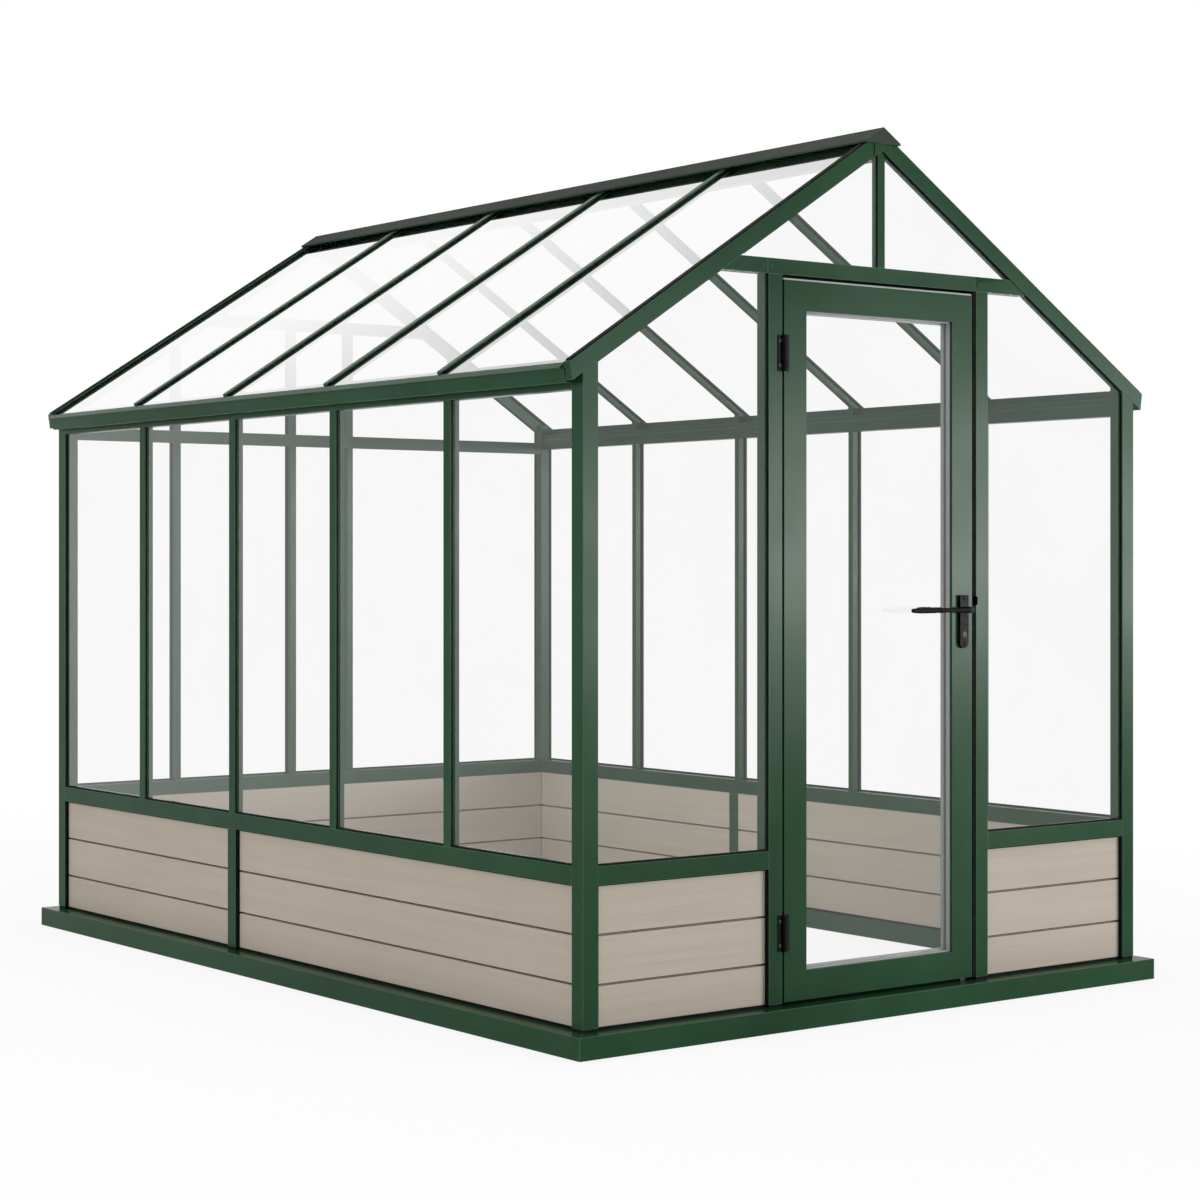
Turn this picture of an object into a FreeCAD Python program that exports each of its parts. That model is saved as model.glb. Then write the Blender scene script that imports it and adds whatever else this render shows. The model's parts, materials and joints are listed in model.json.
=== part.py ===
import FreeCAD, Part
import math
import os

os.makedirs("parts", exist_ok=True)
V = FreeCAD.Vector

# Overall sizes in millimetres. The front gable faces -Y and the ground is at zero.
bay_pitch = 610.0             # pitch of the glazing bars along the side walls and the roof
bay_count = 5
width = 2130.0                # over the corner posts
post = 50.0                   # square corner post
roof_edge_z = 1836.0          # roof plane at the outer faces of the posts
roof_rise = 679.0             # roof plane from there up to the middle
thin = 2.5                    # wall of the hollow sections
thick = 10.0                  # wall on a side that holds a glass groove
over = 1.0                    # a cut runs past the stock by this much

# Base frame
base_height = 62.0
base_ledge = 45.0             # base outside the posts
base_width = 100.0
bracket_leg = 90.0
bracket_t = 6.0
foot_t = 8.0                  # black pads and sill seal on top of the base
foot_inset = 2.0
board_seal_t = 3.0            # black seal round each panel of boards
board_seal_set = 3.0

# Dwarf wall
knee_top = 494.0
knee_height = 50.0
knee_post_bay = 2             # side bar position, counted from the rear, that has a knee post
board_set = 14.0              # board face behind the post face
board_pitch = 131.0
board_count = 3
board_seam = 4.0
tongue_t = 10.0
tongue_in = 6.0
tongue_clear = 0.3

# Glazing
glass_t = 4.0
glass_set = 9.0               # outer glass face behind the frame face
bite = 6.0                    # glass in the groove of a hollow section
groove_clear = 1.0
groove_side = 0.1
seal_t = 3.0
seal_set = 5.0
low_seal_height = 5.0         # seal on the knee rails under the panes
low_seal_set = 2.0
bar_width = 34.0
roof_bar_width = 24.0
roof_bar_depth = 27.0
bar_cap = 5.0
bar_neck = 12.0
bar_leg = 24.0
bar_depth = 35.0
edge_gap = 1.0                # glass edge from a bar's neck
seal_clear = 0.2

# Eaves and gutters
eave_deep = 40.0
eave_height = 56.0
eave_band_t = 4.0             # raised band on the inner face of an eave beam
eave_band_low = 10.0
eave_band_height = 28.0
upstand = 3.0
seat_gap = 0.5
roof_over = 25.0              # roof bars beyond the post faces
glass_short = 2.0             # roof glass back from the ends of the bars
gutter_t = 3.0
gutter_drop = 81.0            # gutter floor under the roof edge
gutter_back = 35.0
gutter_floor_run = 35.0
gutter_wall_run = 42.0
gutter_wall_rise = 35.0
gutter_lip_run = 56.0
gutter_lip_rise = 39.0
gutter_rise = 51.0
lip_root = 4.0                # gutter lip, top land and nose
lip_nose = 2.0

# Gables
rafter = 46.0                 # face height square to the slope
rafter_deep = 30.0
rafter_over = 41.0            # rafters beyond the post faces
rafter_tip_back = 7.0
rafter_core_top = 3.0
rafter_core_back = 25.0       # hollow of a rafter ends this far inside the post face
verge_t = 3.0
verge_inset = 4.0
tie_up = 247.0                # front tie above the roof edge
tie_height = 43.0
tie_set = 4.0
tie_deep = 40.0
king_width = 24.0
rear_tie_drop = 315.0         # top of the rear tie under the ridge
rear_bar_inner = 125.0
rear_bar_outer = 610.0
rear_rail_drop = 115.0        # under the roof edge
rear_rail_height = 45.0
rear_rail_t = 12.0
apex_half = 30.0
apex_height = 54.0
apex_t = 4.0
apex_seam = 0.3
apex_drop = 2.0

# Ridge
ridge_half = 22.0
ridge_deep = 80.0
cap_lift = 6.5
cap_t = 3.0
cap_half = 66.0
cap_lip = 2.0
cap_overhang = 8.0

# Door
jamb_in = 378.0
jamb_width = 48.0
hinge_gap = 8.0
latch_gap = 17.0
door_lift = 10.0
door_head = 14.0              # door leaf under the front tie
door_deep = 40.0
stile = 82.0
door_glass_set = 24.0
bead_t = 8.0
bead_deep = 12.0
door_seal_set = 8.0
head_strip_t = 5.0
head_strip_deep = 14.0
stop_lap = 7.0
stop_gap = 0.5
strip_t = 10.0
strip_set = 3.0
cleat_leg = 55.0
cleat_t = 20.0

# Hinges
hinge_height = 100.0
hinge_from_top = 204.0        # middle of a hinge from the end of the door
hinge_from_bottom = 192.0
knuckle_count = 3
hinge_out = 7.0               # hinge axis in front of the door face
knuckle_r = 7.5
pin_r = 3.5
pin_clear = 0.05
knuckle_gap = 0.3
hinge_leaf = 20.0
hinge_leaf_t = 3.0
leaf_clear = 0.1

# Lock and handles
handle_z = 1149.0
handle_plate = 34.0
handle_plate_t = 10.0
plate_up = 43.0
plate_down = 112.0
plate_screw_top = 8.5         # screws from the ends of a handle plate
plate_screw_low = 11.5
lever_out = 38.0
lever_reach = 236.0
inner_reach = 105.0           # the inner lever is a short one
lever_neck_r = 9.0
stem_r = 6.5
stem_end = 122.0
collar_r = 8.0
collar_t = 5.0
grip_r = 8.0
grip_taper = 26.0
grip_end_r = 6.0
lever_gap = 2.0
spindle = 8.0
spindle_gap = 0.05
spindle_end = 12.0
spindle_hole_r = 6.5
turn_clear = 0.05
cylinder_drop = 72.0
cylinder_r = 8.5
cylinder_proud = 1.0
cylinder_clear = 0.05
plug_r = 5.0
keyway_w = 1.6
keyway_h = 7.0
keyway_deep = 12.0
case_t = 20.0
case_wall = 2.5
case_inset = 10.0
case_up = 46.0
case_down = 90.0
forend_w = 24.0
forend_over = 8.0
forend_clear = 0.1
hub_r = 7.0
hub_flange_r = 10.0
hub_flange_t = 12.0
latch_up = 26.0
latch_h = 22.0
bolt_t = 12.0
bolt_clear = 0.3
latch_out = 22.0
latch_tail = 28.0
latch_bevel = 9.0
deadbolt_drop = 50.0
deadbolt_h = 20.0
deadbolt_tail = 46.0
notch_clear = 1.5
keep_t = 2.5
keep_over = 20.0

# Fasteners
rivet_r = 3.0
rivet_head_r = 5.5
rivet_top_r = 2.75
rivet_head_t = 2.0
rivet_long = 6.0
rivet_clear = 0.05
rivet_inset = 16.0            # rivets of the front tie from the joints

# Worked out from the sizes above
half_x = width / 2
half_y = (bay_pitch * bay_count + post) / 2
ridge_z = roof_edge_z + roof_rise
in_x = half_x - post
in_y = half_y - post
roof_in_y = half_y - rafter_deep
slope = roof_rise / half_x
pitch_cos = 1 / math.sqrt(1 + slope * slope)
base_x = half_x + base_ledge
base_y = half_y + base_ledge
wall_z = base_height + foot_t
knee_bottom = knee_top - knee_height
side_bar_ys = [bay_pitch * (k - bay_count / 2) for k in range(1, bay_count)]
rear_bar_xs = [-rear_bar_outer, -rear_bar_inner, rear_bar_inner, rear_bar_outer]
knee_post_y = side_bar_ys[-knee_post_bay]
jamb_out = jamb_in + jamb_width
glass_back = glass_set + glass_t
king_half = king_width / 2
door_x0 = -jamb_in + hinge_gap
door_x1 = jamb_in - latch_gap
door_y0 = -half_y
door_y1 = door_y0 + door_deep
tie_bottom = roof_edge_z + tie_up
tie_top = tie_bottom + tie_height
door_z0 = base_height + door_lift
door_top = tie_bottom - door_head
hinge_zs = (door_top - hinge_from_top, door_z0 + hinge_from_bottom)
rear_tie_top = ridge_z - rear_tie_drop
rear_tie_bottom = rear_tie_top - tie_height
rear_rail_bottom = roof_edge_z - rear_rail_drop
ridge_bottom = ridge_z - ridge_deep
gutter_floor = roof_edge_z - gutter_drop
roof_run = half_x + roof_over
roof_glass_run = roof_run - glass_short
rafter_run = half_x + rafter_over
pane_from_bar = bar_neck / 2 + edge_gap
lever_x = door_x1 - stile / 2
far = 2 * ridge_z


def block(x0, x1, y0, y1, z0, z1):
    return Part.makeBox(x1 - x0, y1 - y0, z1 - z0, V(x0, y0, z0))


def prism(points, along):
    return Part.Face(Part.makePolygon(points + points[:1])).extrude(along)


def prism_x(points, x0, x1):
    return prism([V(x0, y, z) for y, z in points], V(x1 - x0, 0, 0))


def prism_y(points, y0, y1):
    return prism([V(x, y0, z) for x, z in points], V(0, y1 - y0, 0))


def prism_z(points, z0, z1):
    return prism([V(x, y, z0) for x, y in points], V(0, 0, z1 - z0))


def rod_y(x, z, radius, y0, y1):
    return Part.makeCylinder(radius, y1 - y0, V(x, y0, z), V(0, 1, 0))


def rod_z(x, y, radius, z0, z1):
    return Part.makeCylinder(radius, z1 - z0, V(x, y, z0), V(0, 0, 1))


def flip_x(shape):
    return shape.mirror(V(0, 0, 0), V(1, 0, 0))


def flip_y(shape):
    return shape.mirror(V(0, 0, 0), V(0, 1, 0))


def both_x(shapes):
    return shapes + [flip_x(shape) for shape in shapes]


def hollow(x0, x1, y0, y1, z0, z1, axis, walls):
    """Box section open at both ends. The walls are given low and high on the two other axes in turn."""
    a0, a1, b0, b1 = walls
    if axis == "x":
        core = block(x0 - over, x1 + over, y0 + a0, y1 - a1, z0 + b0, z1 - b1)
    elif axis == "y":
        core = block(x0 + a0, x1 - a1, y0 - over, y1 + over, z0 + b0, z1 - b1)
    else:
        core = block(x0 + a0, x1 - a1, y0 + b0, y1 - b1, z0 - over, z1 + over)
    return block(x0, x1, y0, y1, z0, z1).cut(core)


def cut_all(shape, tools):
    for tool in tools:
        shape = shape.cut(tool)
    return shape


def save(name, shapes):
    shape = shapes[0] if len(shapes) == 1 else Part.makeCompound(shapes)
    shape.exportStep("parts/" + name + ".step")


def roof_z(x, lift):
    """Height at |x| of the plane that lies lift above the roof plane, square to it."""
    return ridge_z - slope * x + lift / pitch_cos


def roof_x(z, lift):
    return (ridge_z + lift / pitch_cos - z) / slope


def roof_strip(x0, x1, low, high, y0, y1):
    points = [(x0, roof_z(x0, low)), (x1, roof_z(x1, low)), (x1, roof_z(x1, high)), (x0, roof_z(x0, high))]
    return prism_y(points, y0, y1)


def rivet(x, y, z, out):
    """Rivet with its head on the point given, out being the way the head faces."""
    direction = V(*out)
    head = Part.makeCone(rivet_head_r, rivet_top_r, rivet_head_t, V(x, y, z), direction)
    shank = Part.makeCylinder(rivet_r, rivet_long, V(x, y, z), direction.negative())
    return head.fuse(shank)


def rivet_hole(x, y, z, out):
    direction = V(*out)
    return Part.makeCylinder(rivet_r + rivet_clear, rivet_long, V(x, y, z), direction.negative())


# Panes. Each wall has a function for its outline, let into the frame by the amount given.
def front_side_outline(let):
    corner = roof_x(tie_bottom + let, let - rafter)
    post_side = in_x + let
    return [(jamb_out - let, knee_top - let), (post_side, knee_top - let),
            (post_side, roof_z(post_side, let - rafter)),
            (corner, tie_bottom + let), (jamb_out - let, tie_bottom + let)]


def front_top_outline(let):
    king_side = king_half - let
    return [(king_side, tie_top - let), (roof_x(tie_top - let, let - rafter), tie_top - let),
            (king_side, roof_z(king_side, let - rafter))]


def rear_outer_outline(let):
    bar_side = rear_bar_outer + pane_from_bar
    post_side = in_x + let
    return [(bar_side, knee_top - let), (post_side, knee_top - let),
            (post_side, roof_z(post_side, let - rafter)), (bar_side, roof_z(bar_side, let - rafter))]


def rear_inner_outline(let):
    side_0 = rear_bar_inner + pane_from_bar
    side_1 = rear_bar_outer - pane_from_bar
    corner = roof_x(rear_tie_bottom + let, let - rafter)
    return [(side_0, knee_top - let), (side_1, knee_top - let), (side_1, roof_z(side_1, let - rafter)),
            (corner, rear_tie_bottom + let), (side_0, rear_tie_bottom + let)]


def rear_middle_outline(let):
    side = rear_bar_inner - pane_from_bar
    return [(-side, knee_top - let), (side, knee_top - let),
            (side, rear_tie_bottom + let), (-side, rear_tie_bottom + let)]


def rear_top_outline(let):
    corner = roof_x(rear_tie_top - let, let - rafter)
    return [(-corner, rear_tie_top - let), (corner, rear_tie_top - let), (0, roof_z(0, let - rafter))]


def front_pane(outline):
    return prism_y(outline(bite), -half_y + glass_set, -half_y + glass_back)


def front_groove(outline):
    return prism_y(outline(bite + groove_clear), -half_y + glass_set - groove_side,
                   -half_y + glass_back + groove_side)


def bay_spans(end, let):
    """Start and end of each pane between frames that stand at end on both sides of the middle."""
    edges = [-end - let]
    for y in side_bar_ys:
        edges += [y - pane_from_bar, y + pane_from_bar]
    edges.append(end + let)
    return list(zip(edges[::2], edges[1::2]))


eave_top = roof_z(half_x - upstand, -bar_depth) - seat_gap
eave_bottom = eave_top - eave_height
front_panes = both_x([front_pane(front_side_outline), front_pane(front_top_outline)])
front_grooves = [front_groove(front_side_outline), front_groove(front_top_outline)]
rear_halves = [flip_y(front_pane(rear_outer_outline)), flip_y(front_pane(rear_inner_outline))]
rear_middles = [flip_y(front_pane(rear_middle_outline)), flip_y(front_pane(rear_top_outline))]
rear_panes = both_x(rear_halves) + rear_middles
rear_groove_outlines = (rear_outer_outline, rear_inner_outline, rear_middle_outline, rear_top_outline)
rear_grooves = [flip_y(front_groove(outline)) for outline in rear_groove_outlines]
side_panes = []
for span in bay_spans(in_y, bite):
    side_panes.append(block(half_x - glass_back, half_x - glass_set, span[0], span[1],
                            knee_top - bite, eave_bottom + bite))
groove_let = bite + groove_clear
side_groove = block(half_x - glass_back - groove_side, half_x - glass_set + groove_side,
                    -in_y - groove_let, in_y + groove_let, knee_top - groove_let, eave_bottom + groove_let)
roof_panes = []
for span in bay_spans(roof_in_y, bite):
    pane = roof_strip(ridge_half - bite, roof_glass_run, -glass_back, -glass_set, span[0], span[1])
    roof_panes.append(pane)
roof_groove = roof_strip(ridge_half - groove_let, roof_run + rafter, -glass_back - groove_side,
                         -glass_set + groove_side, -roof_in_y - groove_let, roof_in_y + groove_let)
save("side_panes", both_x(side_panes))
save("roof_panes", both_x(roof_panes))
save("front_panes", front_panes)
save("rear_panes", rear_panes)

# Base frame: four mitred hollow rails with a corner bracket inside each mitre.
def base_rail_outline(wall):
    inner = base_width - wall
    return [(base_x - wall, wall - base_y), (base_x - wall, base_y - wall),
            (base_x - inner, base_y - inner), (base_x - inner, inner - base_y)]


def base_end_outline(wall):
    inner = base_width - wall
    return [(wall - base_x, wall - base_y), (base_x - wall, wall - base_y),
            (base_x - inner, inner - base_y), (inner - base_x, inner - base_y)]


side_rail = prism_z(base_rail_outline(0), 0, base_height).cut(
    prism_z(base_rail_outline(thin), thin, base_height - thin))
end_rail = prism_z(base_end_outline(0), 0, base_height).cut(
    prism_z(base_end_outline(thin), thin, base_height - thin))
save("base_rails_side", both_x([side_rail]))
save("base_rails_end", [end_rail, flip_y(end_rail)])
bx = base_x - thin
by = base_y - thin
bracket_section = [(0, 0), (0, bracket_leg), (bracket_t, bracket_leg), (bracket_t, bracket_t),
                   (bracket_leg, bracket_t), (bracket_leg, 0)]
bracket = prism_z([(bx - run, side - by) for run, side in bracket_section], thin, base_height - thin)
save("base_corner_brackets", both_x([bracket, flip_y(bracket)]))

# Corner posts, cut to the underside of the rafters and, behind these, to the underside of the roof glass
post_x0 = in_x - over
post_x1 = half_x + over


def post_lid(lift, y0, y1):
    return prism_y([(post_x0, roof_z(post_x0, lift)), (post_x1, roof_z(post_x1, lift)),
                    (post_x1, far), (post_x0, far)], y0, y1)


post_walls = (thick, thin, thin, thick)
corner_post = hollow(in_x, half_x, -half_y, -in_y, wall_z, roof_edge_z, "z", post_walls)
corner_post = corner_post.cut(post_lid(-rafter, -half_y - over, -roof_in_y))
corner_post = corner_post.cut(post_lid(-glass_back - groove_clear, -roof_in_y, -in_y + over))
front_post = cut_all(corner_post, front_grooves[:1] + [side_groove])
rear_post = cut_all(flip_y(corner_post), rear_grooves[:1] + [side_groove])
save("corner_posts_front", both_x([front_post]))
save("corner_posts_rear", both_x([rear_post]))

# Knee rails, knee posts and boards
knee_walls = (thin, thin, thin, thick)
knee_side = hollow(in_x, half_x, -in_y, in_y, knee_bottom, knee_top, "y", knee_walls).cut(side_groove)
save("knee_rails_side", both_x([knee_side]))
knee_front = hollow(jamb_out, in_x, -half_y, -in_y, knee_bottom, knee_top, "x", knee_walls)
knee_front = knee_front.cut(front_grooves[0])
save("knee_rails_front", both_x([knee_front]))
knee_rear = hollow(-in_x, in_x, in_y, half_y, knee_bottom, knee_top, "x", knee_walls)
knee_rear = cut_all(knee_rear, rear_grooves[:3] + [flip_x(groove) for groove in rear_grooves[:2]])
save("knee_rail_rear", [knee_rear])
knee_post = hollow(in_x, half_x, knee_post_y - post / 2, knee_post_y + post / 2, wall_z, knee_bottom, "z",
                   (thin, thin, thin, thin))
save("knee_posts", both_x([knee_post]))


def board_sections():
    """Outlines of the boards from the top down, as depth behind the wall face and height."""
    face = board_set
    back = post
    mid = (face + back) / 2
    tongue_0 = mid - tongue_t / 2
    tongue_1 = mid + tongue_t / 2
    groove_0 = tongue_0 - tongue_clear
    groove_1 = tongue_1 + tongue_clear
    levels = [knee_bottom - board_pitch * course for course in range(board_count)] + [wall_z]
    sections = []
    for level, bottom in zip(levels, levels[1:]):
        top = level if level == knee_bottom else level - board_seam
        groove_top = bottom + tongue_in + tongue_clear
        tongue_top = level + tongue_in
        points = [(face, bottom)]
        if bottom != wall_z:
            points += [(groove_0, bottom), (groove_0, groove_top), (groove_1, groove_top), (groove_1, bottom)]
        points += [(back, bottom), (back, top)]
        if level != knee_bottom:
            points += [(tongue_1, top), (tongue_1, tongue_top), (tongue_0, tongue_top), (tongue_0, top)]
        points.append((face, top))
        sections.append(points)
    return sections


side_boards = []
front_boards = []
rear_boards = []
for section in board_sections():
    side_points = [(half_x - depth, z) for depth, z in section]
    end_points = [(depth - half_y, z) for depth, z in section]
    side_boards.append(prism_y(side_points, -in_y, knee_post_y - post / 2))
    side_boards.append(prism_y(side_points, knee_post_y + post / 2, in_y))
    front_boards.append(prism_x(end_points, jamb_out, in_x))
    rear_boards.append(flip_y(prism_x(end_points, -in_x, in_x)))
save("boards_side", both_x(side_boards))
save("boards_front", both_x(front_boards))
save("boards_rear", rear_boards)

# Black pads under the uprights and sill seals under the boards
pads = []
pad_x0 = in_x + foot_inset
pad_x1 = half_x - foot_inset
for y0, y1 in ((-half_y, -in_y), (in_y, half_y), (knee_post_y - post / 2, knee_post_y + post / 2)):
    pads.append(block(pad_x0, pad_x1, y0 + foot_inset, y1 - foot_inset, base_height, wall_z))
pads.append(block(jamb_in + foot_inset, jamb_out - foot_inset, -half_y + foot_inset, -in_y - foot_inset,
                  base_height, wall_z))
save("post_feet", both_x(pads))
sill_0 = board_set + foot_inset
sill_1 = post - foot_inset
sill_x = in_x - foot_inset
sill_y = in_y - foot_inset
knee_sill = post / 2 + foot_inset
sills = [block(half_x - sill_1, half_x - sill_0, -sill_y, knee_post_y - knee_sill, base_height, wall_z),
         block(half_x - sill_1, half_x - sill_0, knee_post_y + knee_sill, sill_y, base_height, wall_z),
         block(jamb_out + foot_inset, sill_x, sill_0 - half_y, sill_1 - half_y, base_height, wall_z)]
rear_sill = block(-sill_x, sill_x, half_y - sill_1, half_y - sill_0, base_height, wall_z)


def panel_seals(start, end, place):
    """Seal in front of the boards along the top and both ends of a panel."""
    low = knee_bottom - board_seal_t
    return [place(start, end, low, knee_bottom), place(start, start + board_seal_t, wall_z, low),
            place(end - board_seal_t, end, wall_z, low)]


def on_side(start, end, z0, z1):
    return block(half_x - board_set, half_x - board_seal_set, start, end, z0, z1)


def on_front(start, end, z0, z1):
    return block(start, end, board_seal_set - half_y, board_set - half_y, z0, z1)


board_seals = panel_seals(-in_y, knee_post_y - post / 2, on_side)
board_seals += panel_seals(knee_post_y + post / 2, in_y, on_side)
board_seals += panel_seals(jamb_out, in_x, on_front)
rear_seal_strips = [flip_y(strip) for strip in panel_seals(-in_x, in_x, on_front)]
save("sill_seals", both_x(sills + board_seals) + [rear_sill] + rear_seal_strips)

# Glazing bars of cap, neck and leg
def bar_points():
    cap = bar_width / 2
    neck = bar_neck / 2
    leg = bar_leg / 2
    half = [(cap, 0), (cap, bar_cap), (neck, bar_cap), (neck, glass_back), (leg, glass_back),
            (leg, bar_depth)]
    return half + [(-a, b) for a, b in reversed(half)]


bar_section = bar_points()
side_bars = []
for y in side_bar_ys:
    side_bars.append(prism_z([(half_x - b, y + a) for a, b in bar_section], knee_top, eave_bottom))
save("side_bars", both_x(side_bars))
rear_bars = []
for x in rear_bar_xs:
    bar = prism_z([(x + a, half_y - b) for a, b in bar_section], knee_top, ridge_z)
    if abs(x) == rear_bar_inner:
        above = block(x - bar_width, x + bar_width, in_y, half_y + over, rear_tie_bottom, far)
    else:
        x0 = abs(x) - bar_width
        x1 = abs(x) + bar_width
        above = prism_y([(x0, roof_z(x0, -rafter)), (x1, roof_z(x1, -rafter)), (x1, far), (x0, far)],
                        in_y - over, half_y + over)
        above = above if x > 0 else flip_x(above)
    rear_bars.append(bar.cut(above))

# Roof bars. The leg stops at the upstand of the eave beam.
leg_run = half_x - upstand
roof_bars = []
for y in side_bar_ys:
    cap = roof_strip(ridge_half, roof_run, -bar_cap, 0, y - roof_bar_width / 2, y + roof_bar_width / 2)
    neck = roof_strip(ridge_half, roof_run, -glass_back, -bar_cap, y - bar_neck / 2, y + bar_neck / 2)
    leg = roof_strip(ridge_half, leg_run, -roof_bar_depth, -glass_back, y - bar_leg / 2, y + bar_leg / 2)
    roof_bars.append(cap.fuse(neck).fuse(leg).removeSplitter())
save("roof_bars", both_x(roof_bars))

# Eave beams with an upstand under the glass, wedge cleats under the roof bars
eave_in = half_x - eave_deep
eave_beam = hollow(eave_in, half_x, -in_y, in_y, eave_bottom, eave_top, "y", (thin, thin, thick, thin))
upstand_points = [(leg_run, eave_top), (half_x, eave_top), (half_x, roof_z(half_x, -glass_back)),
                  (leg_run, roof_z(leg_run, -glass_back))]
eave_band_z = eave_bottom + eave_band_low
eave_band = block(eave_in - eave_band_t, eave_in, -in_y, in_y, eave_band_z, eave_band_z + eave_band_height)
eave_beam = eave_beam.fuse(prism_y(upstand_points, -in_y, in_y)).fuse(eave_band)
eave_beam = eave_beam.cut(side_groove).removeSplitter()
save("eave_beams", both_x([eave_beam]))
cleats = []
cleat_x0 = eave_in + upstand
cleat_x1 = leg_run - upstand
cleat_points = [(cleat_x0, eave_top), (cleat_x1, eave_top), (cleat_x1, roof_z(cleat_x1, -roof_bar_depth)),
                (cleat_x0, roof_z(cleat_x0, -roof_bar_depth))]
for y in side_bar_ys:
    cleats.append(prism_y(cleat_points, y - bar_leg / 2, y + bar_leg / 2))
save("eave_cleats", both_x(cleats))

# Gutters
wall_in = gutter_wall_run - gutter_t
gutter_section = [(0, 0), (gutter_floor_run, 0), (gutter_wall_run, gutter_wall_rise),
                  (gutter_lip_run - lip_nose, gutter_lip_rise - gutter_t), (gutter_lip_run, gutter_lip_rise),
                  (wall_in + lip_root, gutter_rise), (wall_in, gutter_rise), (wall_in, gutter_wall_rise),
                  (gutter_floor_run - gutter_t, gutter_t), (gutter_t, gutter_t), (gutter_t, gutter_back),
                  (0, gutter_back)]
gutter = prism_y([(half_x + run, gutter_floor + rise) for run, rise in gutter_section], -roof_in_y,
                 roof_in_y)
save("gutters", both_x([gutter]))

# Rafters, hollow from the apex joint down
tip = rafter_run - rafter_tip_back
rafter_points = [(0, roof_z(0, 0)), (rafter_run, roof_z(rafter_run, 0)), (tip, roof_z(tip, -rafter)),
                 (0, roof_z(0, -rafter))]
rafter_core = roof_strip(-over, half_x - rafter_core_back, thick - rafter, -rafter_core_top, -half_y + thin,
                         -half_y + rafter_deep - thick)
front_rafter = prism_y(rafter_points, -half_y, -half_y + rafter_deep).cut(rafter_core)
rear_rafter = cut_all(flip_y(front_rafter), rear_grooves + [roof_groove])
front_rafter = cut_all(front_rafter, front_grooves + [roof_groove])
save("rafters_front", both_x([front_rafter]))
save("rafters_rear", both_x([rear_rafter]))
verge = roof_strip(0, rafter_run - verge_inset, 0, verge_t, -half_y + verge_inset,
                   -half_y + rafter_deep - verge_inset)
save("verge_strips", both_x([verge, flip_y(verge)]))

# Front tie in three lengths. The middle one ends over the left jamb's outer and the right jamb's inner edge.
tie_y0 = -half_y + tie_set
tie_y1 = tie_y0 + tie_deep
tie_walls = (thin, thin, thick, thick)


def under_roof(bottom, top):
    """Cutter that ends a tie of these heights at the underside of the rafter."""
    points = [(roof_x(bottom, -rafter), bottom), (roof_x(top, -rafter), top), (half_x, top), (half_x, bottom)]
    return prism_y(points, -half_y - over, -in_y + over)


tie_end = roof_x(tie_bottom, -rafter)
tie_side = hollow(jamb_out, tie_end, tie_y0, tie_y1, tie_bottom, tie_top, "x", tie_walls)
tie_right = hollow(jamb_in, tie_end, tie_y0, tie_y1, tie_bottom, tie_top, "x", tie_walls)
tie_lid = under_roof(tie_bottom, tie_top)
tie_side = tie_side.cut(tie_lid)
tie_right = tie_right.cut(tie_lid)
tie_middle = hollow(-jamb_out, jamb_in, tie_y0, tie_y1, tie_bottom, tie_top, "x", tie_walls)
tie_rivet_xs = (rivet_inset - jamb_out, -rivet_inset - jamb_out, jamb_in - rivet_inset, jamb_in + rivet_inset)
tie_mid = (tie_bottom + tie_top) / 2
tie_rivets = [(x, tie_y0, tie_mid, (0, -1, 0)) for x in tie_rivet_xs]
tie_holes = [rivet_hole(*place) for place in tie_rivets]
tie_grooves = front_grooves + [flip_x(groove) for groove in front_grooves]
ties = [cut_all(shape, tie_grooves + tie_holes) for shape in (flip_x(tie_side), tie_middle, tie_right)]
save("front_tie", ties)

# King post
king = prism_y([(-king_half, tie_top), (king_half, tie_top), (king_half, roof_z(king_half, -rafter)),
                (0, roof_z(0, -rafter)), (-king_half, roof_z(king_half, -rafter))], tie_y0, -roof_in_y)
king = cut_all(king, [front_grooves[1], flip_x(front_grooves[1])])
save("king_post", [king])

# Rear tie and the rear eave rail, which crosses the bars on the inside
rear_tie_end = roof_x(rear_tie_bottom, -rafter)
rear_tie = hollow(-rear_tie_end, rear_tie_end, -tie_y1, -tie_y0, rear_tie_bottom, rear_tie_top, "x",
                  tie_walls)
rear_lid = flip_y(under_roof(rear_tie_bottom, rear_tie_top))
rear_tie = cut_all(rear_tie, [rear_lid, flip_x(rear_lid)] + rear_grooves + [flip_x(rear_grooves[1])])
rail_y1 = half_y - bar_depth
rail_y0 = rail_y1 - rear_rail_t
rail_z = rear_rail_bottom + rear_rail_height / 2
rail_rivets = [(x, rail_y0, rail_z, (0, -1, 0)) for x in rear_bar_xs]
rear_rail = block(-in_x, in_x, rail_y0, rail_y1, rear_rail_bottom, rear_rail_bottom + rear_rail_height)
rear_rail = cut_all(rear_rail, [rivet_hole(*place) for place in rail_rivets])
save("rear_rails", [rear_tie, rear_rail])
save("rear_bars", rear_bars)

# Plates over the apex joints
apex = prism_y([(apex_seam, roof_z(apex_seam, -apex_drop)), (apex_half, roof_z(apex_half, -apex_drop)),
                (apex_half, roof_z(apex_half, -apex_drop) - apex_height),
                (apex_seam, roof_z(apex_seam, -apex_drop) - apex_height)], -half_y - apex_t, -half_y)
save("apex_plates", both_x([apex, flip_y(apex)]))

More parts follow.
